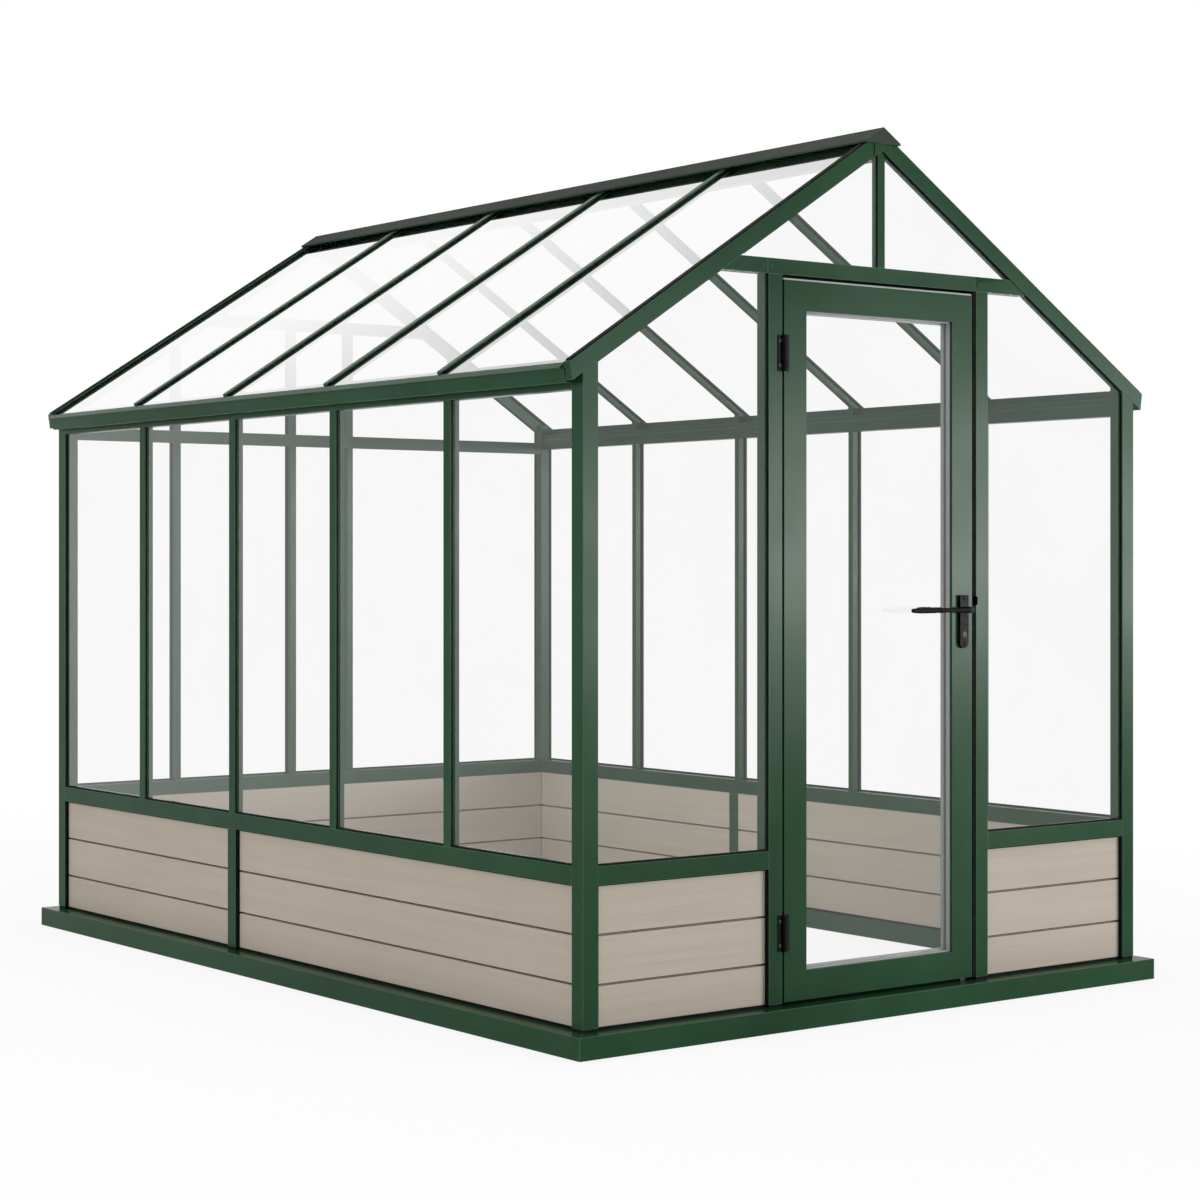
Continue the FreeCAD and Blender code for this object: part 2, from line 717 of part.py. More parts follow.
# Ridge beam and its cap
ridge_side = roof_z(ridge_half, cap_lift)
ridge_points = [(-ridge_half, ridge_bottom), (ridge_half, ridge_bottom), (ridge_half, ridge_side),
                (0, roof_z(0, cap_lift)), (-ridge_half, ridge_side)]
ridge_core = block(thick - ridge_half, ridge_half - thick, -half_y, half_y, ridge_bottom + thin,
                   roof_z(ridge_half, -rafter_core_top))
ridge_beam = prism_y(ridge_points, -roof_in_y, roof_in_y).cut(ridge_core)
ridge_beam = cut_all(ridge_beam, [roof_groove, flip_x(roof_groove)])
save("ridge_beam", [ridge_beam])
lip_in = cap_half - cap_t
cap_end = half_y + cap_overhang
cap_high = cap_lift + cap_t
lip_z = roof_z(cap_half, cap_lift) - cap_lip
cap_right = [(0, roof_z(0, cap_lift)), (lip_in, roof_z(lip_in, cap_lift)), (lip_in, lip_z), (cap_half, lip_z),
             (cap_half, roof_z(cap_half, cap_high)), (0, roof_z(0, cap_high))]
cap_points = cap_right[1:] + [(-x, z) for x, z in reversed(cap_right[1:-1])] + [cap_right[0]]
cap = prism_y(cap_points, -cap_end, cap_end)
cap_under = roof_z(lip_in, cap_lift)
cap_plate = prism_y([(-lip_in, lip_z), (lip_in, lip_z), (lip_in, cap_under), (0, roof_z(0, cap_lift)),
                     (-lip_in, cap_under)], -cap_end, -cap_end + cap_t)
cap = cap.fuse(cap_plate).fuse(flip_y(cap_plate)).removeSplitter()
save("ridge_cap", [cap])

# Black glazing seals between caps and glass, and along the hollow sections
seal_0 = bar_neck / 2 + seal_clear
seal_1 = bar_width / 2 - edge_gap
roof_seal_1 = roof_bar_width / 2 - edge_gap
seals = []
side_seal_x = (half_x - glass_set, half_x - bar_cap)
roof_seals = []
for y in side_bar_ys:
    for y0, y1 in ((y - seal_1, y - seal_0), (y + seal_0, y + seal_1)):
        seals.append(block(side_seal_x[0], side_seal_x[1], y0, y1, knee_top, eave_bottom))
    for y0, y1 in ((y - roof_seal_1, y - seal_0), (y + seal_0, y + roof_seal_1)):
        roof_seals.append(roof_strip(ridge_half, roof_glass_run, -glass_set, -bar_cap, y0, y1))
for y0, y1 in ((-in_y, -in_y + seal_t), (in_y - seal_t, in_y)):
    seals.append(block(side_seal_x[0], side_seal_x[1], y0, y1, knee_top, eave_bottom))
for y0, y1 in ((-roof_in_y, -roof_in_y + seal_t), (roof_in_y - seal_t, roof_in_y)):
    roof_seals.append(roof_strip(ridge_half, roof_glass_run, -glass_set, -seal_set, y0, y1))
front_seal_y = (-half_y + seal_set, -half_y + glass_set)


def slope_seal(x0, x1):
    return roof_strip(x0, x1, -rafter - seal_t, -rafter, front_seal_y[0], front_seal_y[1])


def upright_seal(x0, bottom, top):
    return block(x0, x0 + seal_t, front_seal_y[0], front_seal_y[1], bottom, top)


post_seal_x = in_x - seal_t
king_seal_x = king_half + seal_t
seal_low = -rafter - seal_t
post_seal = upright_seal(post_seal_x, knee_top, roof_z(in_x, seal_low) - seal_t)
front_seals = [post_seal, upright_seal(jamb_out, knee_top, tie_bottom),
               slope_seal(roof_x(tie_bottom - seal_t, seal_low) + seal_t, post_seal_x),
               upright_seal(king_half, tie_top, roof_z(king_seal_x, seal_low) - seal_t),
               slope_seal(king_seal_x, roof_x(tie_top + seal_t, seal_low) - seal_t)]
rear_seals = [flip_y(post_seal), flip_y(slope_seal(rear_bar_outer + bar_width / 2, post_seal_x))]
rear_bar_seals = []
for x in rear_bar_xs:
    top = rear_tie_bottom if abs(x) == rear_bar_inner else roof_z(abs(x) + bar_width, -rafter)
    for x0, x1 in ((x - seal_1, x - seal_0), (x + seal_0, x + seal_1)):
        rear_bar_seals.append(block(x0, x1, half_y - glass_set, half_y - bar_cap, knee_top, top))


def clear_runs(end, centres):
    """Lengths from -end to end that the caps of the bars leave free."""
    cuts = [-end]
    for centre in sorted(centres):
        cuts += [centre - bar_width / 2, centre + bar_width / 2]
    cuts.append(end)
    return list(zip(cuts[::2], cuts[1::2]))


low_seal_top = knee_top + low_seal_height
for y0, y1 in clear_runs(in_y - seal_t, side_bar_ys):
    seals.append(block(side_seal_x[0], half_x - low_seal_set, y0, y1, knee_top, low_seal_top))
front_seals.append(block(jamb_out + seal_t, post_seal_x, low_seal_set - half_y, front_seal_y[1], knee_top,
                         low_seal_top))
for x0, x1 in clear_runs(post_seal_x, rear_bar_xs):
    rear_bar_seals.append(block(x0, x1, half_y - glass_set, half_y - low_seal_set, knee_top, low_seal_top))
save("glazing_seals", both_x(seals + roof_seals + front_seals + rear_seals) + rear_bar_seals)

# Door jambs. The latch jamb has a notch for the latch, open to the front, and a hole for the deadbolt.
latch_z = handle_z + latch_up
deadbolt_z = handle_z - deadbolt_drop
bolt_y = (door_y0 + door_y1) / 2
bolt_y0 = bolt_y - bolt_t / 2
bolt_y1 = bolt_y + bolt_t / 2
keep_x = door_x1 + latch_out + notch_clear
jamb_walls = (thin, thick, thin, thin)
jamb = hollow(jamb_in, jamb_out, -half_y, -in_y, wall_z, tie_bottom, "z", jamb_walls).cut(front_grooves[0])
notch_y1 = bolt_y1 + notch_clear
latch_half = latch_h / 2 + notch_clear
latch_notch = block(door_x1, keep_x, -half_y - over, notch_y1, latch_z - latch_half, latch_z + latch_half)
hole_half = deadbolt_h / 2 + notch_clear
deadbolt_hole = block(door_x1, keep_x, bolt_y0 - notch_clear, notch_y1, deadbolt_z - hole_half,
                      deadbolt_z + hole_half)
latch_jamb = cut_all(jamb, [latch_notch, deadbolt_hole])
hinge_x = (-jamb_in + door_x0) / 2
hinge_y = door_y0 - hinge_out
leaf_0 = knuckle_r + leaf_clear
leaf_1 = leaf_0 + hinge_leaf - knuckle_r
leaf_mid = (leaf_0 + leaf_1) / 2
knuckle = hinge_height / knuckle_count
frame_screws = []
door_screws = []
for z in hinge_zs:
    for screw_z in (z - knuckle, z + knuckle):
        frame_screws.append((hinge_x - leaf_mid, door_y0 - hinge_leaf_t, screw_z, (0, -1, 0)))
        door_screws.append((hinge_x + leaf_mid, door_y0 - hinge_leaf_t, screw_z, (0, -1, 0)))
frame_screw_holes = [rivet_hole(*place) for place in frame_screws]
door_screw_holes = [rivet_hole(*place) for place in door_screws]
save("door_jambs", [cut_all(flip_x(jamb), frame_screw_holes), latch_jamb])
keep = block(keep_x, keep_x + keep_t, -half_y + thin, -in_y - thin, deadbolt_z - keep_over,
             latch_z + keep_over)
save("keep", [keep])

# Black stops behind the door and the strip on the latch jamb
stop_y0 = door_y1 + stop_gap
stop_left = block(-jamb_in, door_x0 + stop_lap, stop_y0, -in_y, wall_z, tie_bottom)
stop_right = block(door_x1 - stop_lap, jamb_in, stop_y0, -in_y, wall_z, tie_bottom)
stop_head = block(door_x0 + stop_lap, door_x1 - stop_lap, stop_y0, tie_y1, door_top - stop_lap, tie_bottom)
stop_sill = block(door_x0 + stop_lap, door_x1 - stop_lap, stop_y0, -in_y, base_height, door_z0 + stop_lap)
strip = block(jamb_in - strip_t, jamb_in, -half_y + strip_set, door_y1, wall_z, tie_bottom)
strip = cut_all(strip, [latch_notch, deadbolt_hole])
save("door_stops", [stop_left, stop_right, stop_head, stop_sill, strip])

# Door frame of two stiles and two rails, mitred, with an angle cleat in each corner
x_in_0 = door_x0 + stile
x_in_1 = door_x1 - stile
z_in_0 = door_z0 + stile
z_in_1 = door_top - stile
glass_y0 = door_y0 + door_glass_set
glass_y1 = glass_y0 + glass_t


def door_outline(let):
    return (x_in_0 - let, x_in_1 + let, z_in_0 - let, z_in_1 + let)


def door_block(let, y0, y1):
    x0, x1, z0, z1 = door_outline(let)
    return block(x0, x1, y0, y1, z0, z1)


door_groove = door_block(bite + groove_clear, glass_y0 - groove_side, glass_y1 + groove_side)


def mitred(points, core):
    shell = prism_y(points, door_y0, door_y1)
    return shell.cut(prism_y(core, door_y0 + thin, door_y1 - thin)).cut(door_groove)


out_w = thin
in_w = stile - thick
hinge_stile = mitred([(door_x0, door_z0), (x_in_0, z_in_0), (x_in_0, z_in_1), (door_x0, door_top)],
                     [(door_x0 + out_w, door_z0 + out_w), (door_x0 + in_w, door_z0 + in_w),
                      (door_x0 + in_w, door_top - in_w), (door_x0 + out_w, door_top - out_w)])
latch_stile = mitred([(door_x1, door_z0), (x_in_1, z_in_0), (x_in_1, z_in_1), (door_x1, door_top)],
                     [(door_x1 - out_w, door_z0 + out_w), (door_x1 - in_w, door_z0 + in_w),
                      (door_x1 - in_w, door_top - in_w), (door_x1 - out_w, door_top - out_w)])
bottom_rail = mitred([(door_x0, door_z0), (door_x1, door_z0), (x_in_1, z_in_0), (x_in_0, z_in_0)],
                     [(door_x0 + out_w, door_z0 + out_w), (door_x1 - out_w, door_z0 + out_w),
                      (door_x1 - in_w, door_z0 + in_w), (door_x0 + in_w, door_z0 + in_w)])
top_rail = mitred([(door_x0, door_top), (door_x1, door_top), (x_in_1, z_in_1), (x_in_0, z_in_1)],
                  [(door_x0 + out_w, door_top - out_w), (door_x1 - out_w, door_top - out_w),
                   (door_x1 - in_w, door_top - in_w), (door_x0 + in_w, door_top - in_w)])
lock_y = bolt_y
case_x1 = door_x1 - thin
case_x0 = x_in_1 + thick + case_inset
case_z0 = handle_z - case_down
case_z1 = handle_z + case_up
cylinder_z = handle_z - cylinder_drop
forend_half = forend_w / 2 + forend_clear
forend_end = forend_over + forend_clear
forend_cut = block(case_x1 - over, door_x1 + over, lock_y - forend_half, lock_y + forend_half,
                   case_z0 - forend_end, case_z1 + forend_end)
spindle_hole = rod_y(lever_x, handle_z, spindle_hole_r, door_y0 - over, door_y1 + over)
cylinder_hole = rod_y(lever_x, cylinder_z, cylinder_r + cylinder_clear, door_y0 - lever_out,
                      door_y1 + lever_out)
latch_stile = cut_all(latch_stile, [forend_cut, spindle_hole, cylinder_hole])
hinge_stile = cut_all(hinge_stile, door_screw_holes)
save("door_stile_hinge", [hinge_stile])
save("door_stile_latch", [latch_stile])
save("door_rails", [bottom_rail, top_rail])
cleat_y0 = door_y0 + thin
cleat_y1 = cleat_y0 + cleat_t
cx = door_x0 + out_w
cz = door_z0 + out_w
corner_section = [(0, 0), (cleat_leg, 0), (cleat_leg, bracket_t), (bracket_t, bracket_t),
                  (bracket_t, cleat_leg), (0, cleat_leg)]
corner = prism_y([(cx + run, cz + rise) for run, rise in corner_section], cleat_y0, cleat_y1)
mid_x = (door_x0 + door_x1) / 2
mid_z = (door_z0 + door_top) / 2
corner_up = corner.mirror(V(0, 0, mid_z), V(0, 0, 1))
corners = [corner, corner_up]
corners += [shape.mirror(V(mid_x, 0, 0), V(1, 0, 0)) for shape in corners]
save("door_corner_cleats", corners)
save("door_pane", [door_block(bite, glass_y0, glass_y1)])
seal_ring = door_block(0, door_y0 + door_seal_set, glass_y0).cut(door_block(-seal_t, door_y0, door_y1))
save("door_glass_seal", [seal_ring])
bead_ring = door_block(0, glass_y1, glass_y1 + bead_deep).cut(door_block(-bead_t, door_y0, door_y1))
save("door_bead", [bead_ring])
head_y0 = door_y0 + strip_set
head_strip = block(door_x0, door_x1, head_y0, head_y0 + head_strip_deep, door_top, door_top + head_strip_t)
save("door_head_strip", [head_strip])

# Hinges of three knuckles on a fixed pin
frame_leaves = []
door_leaves = []
pins = []
for z in hinge_zs:
    z0 = z - hinge_height / 2
    z1 = z + hinge_height / 2
    pin_hole = rod_z(hinge_x, hinge_y, pin_r + pin_clear, z0 - over, z1 + over)
    frame_leaf = block(hinge_x - leaf_1, hinge_x - leaf_0, door_y0 - hinge_leaf_t, door_y0, z0, z1)
    for k0, k1 in ((z0, z0 + knuckle - knuckle_gap), (z1 - knuckle + knuckle_gap, z1)):
        arm = block(hinge_x - leaf_0, hinge_x, door_y0 - hinge_leaf_t, door_y0 - leaf_clear, k0, k1)
        frame_leaf = frame_leaf.fuse(arm).fuse(rod_z(hinge_x, hinge_y, knuckle_r, k0, k1))
    frame_leaves.append(cut_all(frame_leaf, [pin_hole] + frame_screw_holes))
    door_leaf = block(hinge_x + leaf_0, hinge_x + leaf_1, door_y0 - hinge_leaf_t, door_y0, z0, z1)
    k0 = z0 + knuckle
    k1 = z1 - knuckle
    arm = block(hinge_x, hinge_x + leaf_0, door_y0 - hinge_leaf_t, door_y0 - leaf_clear, k0, k1)
    door_leaf = door_leaf.fuse(arm).fuse(rod_z(hinge_x, hinge_y, knuckle_r, k0, k1))
    door_leaves.append(cut_all(door_leaf, [pin_hole] + door_screw_holes))
    pins.append(rod_z(hinge_x, hinge_y, pin_r, z0, z1))
save("hinge_frame_leaves", frame_leaves)
save("hinge_door_leaves", door_leaves)
save("hinge_pins", pins)

# Handle plates, levers and spindle
def plate_at(y0, y1):
    half = handle_plate / 2
    low = handle_z - plate_down + half
    body = block(lever_x - half, lever_x + half, y0, y1, low, handle_z + plate_up)
    body = body.fuse(rod_y(lever_x, low, half, y0, y1)).removeSplitter()
    body = body.cut(rod_y(lever_x, handle_z, lever_neck_r + turn_clear, y0 - over, y1 + over))
    return body.cut(cylinder_hole)


plate_out = plate_at(door_y0 - handle_plate_t, door_y0)
plate_in = plate_at(door_y1, door_y1 + handle_plate_t)
plate_screws = []
for z in (handle_z + plate_up - plate_screw_top, handle_z - plate_down + plate_screw_low):
    plate_screws.append((lever_x, door_y0 - handle_plate_t, z, (0, -1, 0)))
    plate_screws.append((lever_x, door_y1 + handle_plate_t, z, (0, 1, 0)))
plate_screw_holes = [rivet_hole(*place) for place in plate_screws]
save("handle_plates", [cut_all(plate_out, plate_screw_holes), cut_all(plate_in, plate_screw_holes)])


def lever_at(reach):
    """Lever on the outer side: neck through the plate, then stem, collar and grip towards the hinges."""
    axis_y = door_y0 - lever_out
    taper = grip_taper * reach / lever_reach
    neck = rod_y(lever_x, handle_z, lever_neck_r, axis_y - stem_r, door_y0 - lever_gap)
    x_stem = lever_x - stem_end * reach / lever_reach
    x_collar = x_stem - collar_t
    x_end = lever_x - reach
    outline = [(lever_x, 0), (lever_x, stem_r), (x_stem, stem_r), (x_stem, collar_r), (x_collar, collar_r),
               (x_collar, stem_r), (x_collar - taper, grip_r), (x_end + taper, grip_r),
               (x_end, grip_end_r), (x_end, 0)]
    profile = [V(x, axis_y, handle_z + r) for x, r in outline]
    face = Part.Face(Part.makePolygon(profile + profile[:1]))
    turned = face.revolve(V(lever_x, axis_y, handle_z), V(1, 0, 0), 360)
    lever = neck.fuse(turned)
    return lever.removeSplitter()


spindle_y0 = door_y0 - lever_gap - spindle_end
spindle_y1 = door_y1 + lever_gap + spindle_end


def square_bar(half):
    return block(lever_x - half, lever_x + half, spindle_y0, spindle_y1, handle_z - half, handle_z + half)


spindle_bar = square_bar(spindle / 2)
socket = square_bar(spindle / 2 + spindle_gap)
lever_front = lever_at(lever_reach)
lever_back = lever_at(inner_reach).mirror(V(0, lock_y, 0), V(0, 1, 0))
save("lever_handles", [lever_front.cut(socket), lever_back.cut(socket)])
save("lever_spindle", [spindle_bar])

# Lock case with its forend, follower, latch, deadbolt and cylinder
case_y0 = lock_y - case_t / 2
case_y1 = lock_y + case_t / 2
hub_hole = rod_y(lever_x, handle_z, hub_r + turn_clear, case_y0 - over, case_y1 + over)


def bolt_way(z, height):
    half = height / 2 + bolt_clear
    return block(case_x0 + case_wall, door_x1 + over, bolt_y0 - bolt_clear, bolt_y1 + bolt_clear,
                 z - half, z + half)


case = block(case_x0, case_x1, case_y0, case_y1, case_z0, case_z1)
case = case.cut(block(case_x0 + case_wall, case_x1 - case_wall, case_y0 + case_wall, case_y1 - case_wall,
                      case_z0 + case_wall, case_z1 - case_wall))
case = case.fuse(block(case_x1, door_x1, lock_y - forend_w / 2, lock_y + forend_w / 2, case_z0 - forend_over,
                       case_z1 + forend_over))
bolt_ways = [bolt_way(latch_z, latch_h), bolt_way(deadbolt_z, deadbolt_h)]
case = cut_all(case, [hub_hole, cylinder_hole] + bolt_ways).removeSplitter()
save("lock_case", [case])
follower = rod_y(lever_x, handle_z, hub_r, case_y0, case_y1)
flange = rod_y(lever_x, handle_z, hub_flange_r, lock_y - hub_flange_t / 2, lock_y + hub_flange_t / 2)
save("lock_follower", [follower.fuse(flange).cut(socket)])
latch_x1 = door_x1 + latch_out
latch = prism_z([(door_x1 - latch_tail, bolt_y0), (latch_x1, bolt_y0), (latch_x1, bolt_y1 - latch_bevel),
                 (latch_x1 - latch_bevel, bolt_y1), (door_x1 - latch_tail, bolt_y1)],
                latch_z - latch_h / 2, latch_z + latch_h / 2)
save("latch_bolt", [latch])
deadbolt = block(door_x1 - deadbolt_tail, door_x1, bolt_y0, bolt_y1, deadbolt_z - deadbolt_h / 2,
                 deadbolt_z + deadbolt_h / 2)
save("deadbolt", [deadbolt])
cyl_y0 = door_y0 - handle_plate_t - cylinder_proud
cyl_y1 = door_y1 + handle_plate_t + cylinder_proud
plug_bore = rod_y(lever_x, cylinder_z, plug_r + turn_clear, cyl_y0 - over, cyl_y1 + over)
save("lock_cylinder", [rod_y(lever_x, cylinder_z, cylinder_r, cyl_y0, cyl_y1).cut(plug_bore)])
keyway = block(lever_x - keyway_w / 2, lever_x + keyway_w / 2, cyl_y0, cyl_y0 + keyway_deep,
               cylinder_z - keyway_h / 2, cylinder_z + keyway_h / 2)
plug = rod_y(lever_x, cylinder_z, plug_r, cyl_y0, cyl_y1).cut(keyway)
plug = plug.cut(keyway.mirror(V(0, lock_y, 0), V(0, 1, 0)))
save("cylinder_plug", [plug])

# Fasteners
save("frame_rivets", [rivet(*place) for place in tie_rivets + rail_rivets + frame_screws])
save("door_screws", [rivet(*place) for place in door_screws + plate_screws])
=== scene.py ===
import json
import math
import bpy
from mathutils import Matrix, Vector


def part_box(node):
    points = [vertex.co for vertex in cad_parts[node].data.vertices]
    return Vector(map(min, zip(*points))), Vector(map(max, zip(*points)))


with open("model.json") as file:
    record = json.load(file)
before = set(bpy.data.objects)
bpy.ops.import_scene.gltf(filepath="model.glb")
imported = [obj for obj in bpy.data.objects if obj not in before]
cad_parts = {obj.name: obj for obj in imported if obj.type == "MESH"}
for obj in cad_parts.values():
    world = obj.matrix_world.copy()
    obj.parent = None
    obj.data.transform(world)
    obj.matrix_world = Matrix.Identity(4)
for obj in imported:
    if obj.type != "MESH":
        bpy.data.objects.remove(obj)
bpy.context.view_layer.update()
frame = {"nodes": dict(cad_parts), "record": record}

scene = bpy.context.scene
nodes = frame["nodes"]
slot_of = {part["node"]: part["material_slot"] for part in frame["record"]["subparts"]}

# Boards, in metres: the courses count down from the top of the dwarf wall
board_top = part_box("boards_side")[1][2]
board_pitch = 0.131
seam_shade_from = 0.984        # share of a course, from its top, below which the seam gets painted shade

# Small round on the edges of each finish. Steel pieces keep their sharp edges.
edge_round = {
    "green_coat": 0.0011,
    "board": 0.0016,
    "black_metal": 0.0007,
    "bare_aluminium": 0.0005,
    "brass": 0.0003,
    "black_rubber": 0.0004,
}
weld_reach = 0.00002
flat_angle = math.radians(0.3)
round_angle = math.radians(38)
normal_weight = 80

# Floor
floor_reach = 60.0
floor_drop = 0.0012           # floor under the base, so that the two don't share a plane
shadow_near = 1.6             # the shadow fades to plain white between these distances from the middle
shadow_far = 4.2
house_squeeze = (1.0, 0.72, 1.0)

# Camera at the photograph's viewpoint
sensor_width = 36.0
lens = 77.963
frame_shift = -0.03186
eye = (-5.1199, -6.9533, 1.2892)
heading = math.radians(-37.261)
sight_end = 200.0


def linear(red, green, blue):
    """Colour for a shader socket from values out of 255, as a picture shows them."""
    def one(value):
        value = value / 255
        return value / 12.92 if value <= 0.04045 else ((value + 0.055) / 1.055) ** 2.4
    return (one(red), one(green), one(blue), 1.0)


class Tree:
    """Node tree of a material or a world, with short calls for the nodes used here."""

    def __init__(self, owner, output="ShaderNodeOutputMaterial"):
        owner.use_nodes = True
        self.owner = owner
        self.tree = owner.node_tree
        self.tree.nodes.clear()
        self.out = self.add(output)
        self.place = self.add("ShaderNodeTexCoord")
        self.coords = self.place.outputs["Object"]

    def add(self, kind, **values):
        node = self.tree.nodes.new(kind)
        for key, value in values.items():
            setattr(node, key, value)
        return node

    def link(self, source, target):
        self.tree.links.new(source, target)

    def put(self, socket, value):
        if isinstance(value, bpy.types.NodeSocket):
            self.link(value, socket)
        else:
            socket.default_value = value

    def math(self, operation, a, b=0.0, clamp=False):
        node = self.add("ShaderNodeMath", operation=operation, use_clamp=clamp)
        self.put(node.inputs[0], a)
        self.put(node.inputs[1], b)
        return node.outputs[0]

    def part(self, value, share):
        return self.math("MULTIPLY", value, share)

    def stretch(self, scale):
        node = self.add("ShaderNodeMapping")
        node.inputs["Scale"].default_value = scale
        self.link(self.coords, node.inputs["Vector"])
        return node.outputs[0]

    def heights(self, vector):
        split = self.add("ShaderNodeSeparateXYZ")
        self.link(vector, split.inputs[0])
        return split.outputs["Z"]

    def noise(self, scale, detail=2.0, rough=0.5, vector=None, distort=0.0):
        node = self.add("ShaderNodeTexNoise")
        node.inputs["Scale"].default_value = scale
        node.inputs["Detail"].default_value = detail
        node.inputs["Roughness"].default_value = rough
        node.inputs["Distortion"].default_value = distort
        self.link(vector if vector is not None else self.coords, node.inputs["Vector"])
        return node.outputs["Fac"]

    def span(self, value, low, high, to_low=0.0, to_high=1.0):
        node = self.add("ShaderNodeMapRange")
        for name, number in (("Value", value), ("From Min", low), ("From Max", high), ("To Min", to_low),
                             ("To Max", to_high)):
            self.put(node.inputs[name], number)
        return node.outputs[0]

    def mix(self, factor, a, b):
        node = self.add("ShaderNodeMix", data_type="RGBA")
        self.put(node.inputs[0], factor)
        self.put(node.inputs[6], a)
        self.put(node.inputs[7], b)
        return node.outputs[2]

    def bump(self, height, strength, distance):
        node = self.add("ShaderNodeBump")
        node.inputs["Strength"].default_value = strength
        node.inputs["Distance"].default_value = distance
        self.link(height, node.inputs["Height"])
        return node.outputs[0]

    def edges(self, radius, low, high):
        """One on the outer edges of a piece and zero on its faces."""
        round_off = self.add("ShaderNodeBevel", samples=4)
        round_off.inputs["Radius"].default_value = radius
        plain = self.add("ShaderNodeNewGeometry")
        dot = self.add("ShaderNodeVectorMath", operation="DOT_PRODUCT")
        self.link(round_off.outputs[0], dot.inputs[0])
        self.link(plain.outputs["Normal"], dot.inputs[1])
        return self.span(dot.outputs["Value"], high, low)

    def crevice(self, reach, open_at, shut_at):
        """One where another face lies close by and zero on open faces."""
        near = self.add("ShaderNodeAmbientOcclusion", samples=8)
        near.inputs["Distance"].default_value = reach
        return self.span(near.outputs["AO"], open_at, shut_at)

    def seen_rays(self):
        """One for what the camera sees, also in reflections and through glass, and zero for light."""
        path = self.add("ShaderNodeLightPath")
        seen = self.math("ADD", path.outputs["Is Camera Ray"], path.outputs["Is Glossy Ray"])
        return self.math("ADD", seen, path.outputs["Is Transmission Ray"], clamp=True)

    def shader(self, kind, colour=None):
        node = self.add(kind)
        if colour is not None:
            node.inputs["Color"].default_value = colour
        return node

    def blend(self, factor, first, second):
        node = self.add("ShaderNodeMixShader")
        self.link(factor, node.inputs[0])
        self.link(first.outputs[0], node.inputs[1])
        self.link(second.outputs[0], node.inputs[2])
        return node

    def finish(self, shader):
        self.link(shader.outputs[0], self.out.inputs["Surface"])
        return self.owner

    def surface(self, colour, rough, normal, **constants):
        shader = self.add("ShaderNodeBsdfPrincipled")
        self.put(shader.inputs["Base Color"], colour)
        self.put(shader.inputs["Roughness"], rough)
        self.link(normal, shader.inputs["Normal"])
        for key, value in constants.items():
            shader.inputs[key.replace("_", " ")].default_value = value
        return self.finish(shader)


def material(name):
    return Tree(bpy.data.materials.new(name))


def green_coat(name, edge_highlight, joint_shade=0.0):
    """Satin powder coat: slow drift of tone, a fine orange peel, edges paled by a painted highlight and
    joints darkened by painted shade.
    """
    t = material(name)
    tone = t.math("ADD", t.part(t.noise(1.3), 0.75), t.part(t.noise(9.0, 3.0), 0.25))
    specks = t.span(t.noise(700.0, 1.0), 0.62, 0.72)
    painted_edge_light = t.edges(0.0035, 0.90, 0.99)
    colour = t.mix(t.span(tone, 0.35, 0.65), linear(25, 60, 36), linear(36, 73, 47))
    colour = t.mix(t.part(specks, 0.12), colour, linear(70, 98, 80))
    # Paler edges: painted highlight.
    colour = t.mix(t.part(painted_edge_light, edge_highlight), colour, linear(104, 130, 112))
    # Darker where another face lies close, as in the door's mitres: painted shade.
    if joint_shade:
        colour = t.mix(t.part(t.crevice(0.004, 0.85, 0.55), joint_shade), colour, linear(12, 26, 17))
    rough = t.span(t.noise(3.5, 3.0), 0.3, 0.7, 0.20, 0.28)
    peel = t.bump(t.noise(380.0, 2.0, 0.6), 0.08, 0.0005)
    return t.surface(colour, rough, peel, Specular_IOR_Level=0.08)


def ridge_coat():
    """The ridge cap has a duller coat than the rest of the frame; its darker, greyer colour is painted
    shade and its paler edges a painted highlight.
    """
    t = material("dull_ridge_painted_shade")
    painted_edge_light = t.edges(0.003, 0.90, 0.99)
    # Darker, greyer colour than the frame's coat: painted shade.
    colour = t.mix(t.span(t.noise(1.7, 3.0), 0.35, 0.65), linear(46, 52, 46), linear(62, 69, 62))
    # Paler edges: painted highlight.
    colour = t.mix(t.part(painted_edge_light, 0.35), colour, linear(96, 104, 97))
    rough = t.span(t.noise(3.5, 3.0), 0.3, 0.7, 0.46, 0.58)
    peel = t.bump(t.noise(380.0, 2.0, 0.6), 0.08, 0.0005)
    return t.surface(colour, rough, peel, Specular_IOR_Level=0.02)


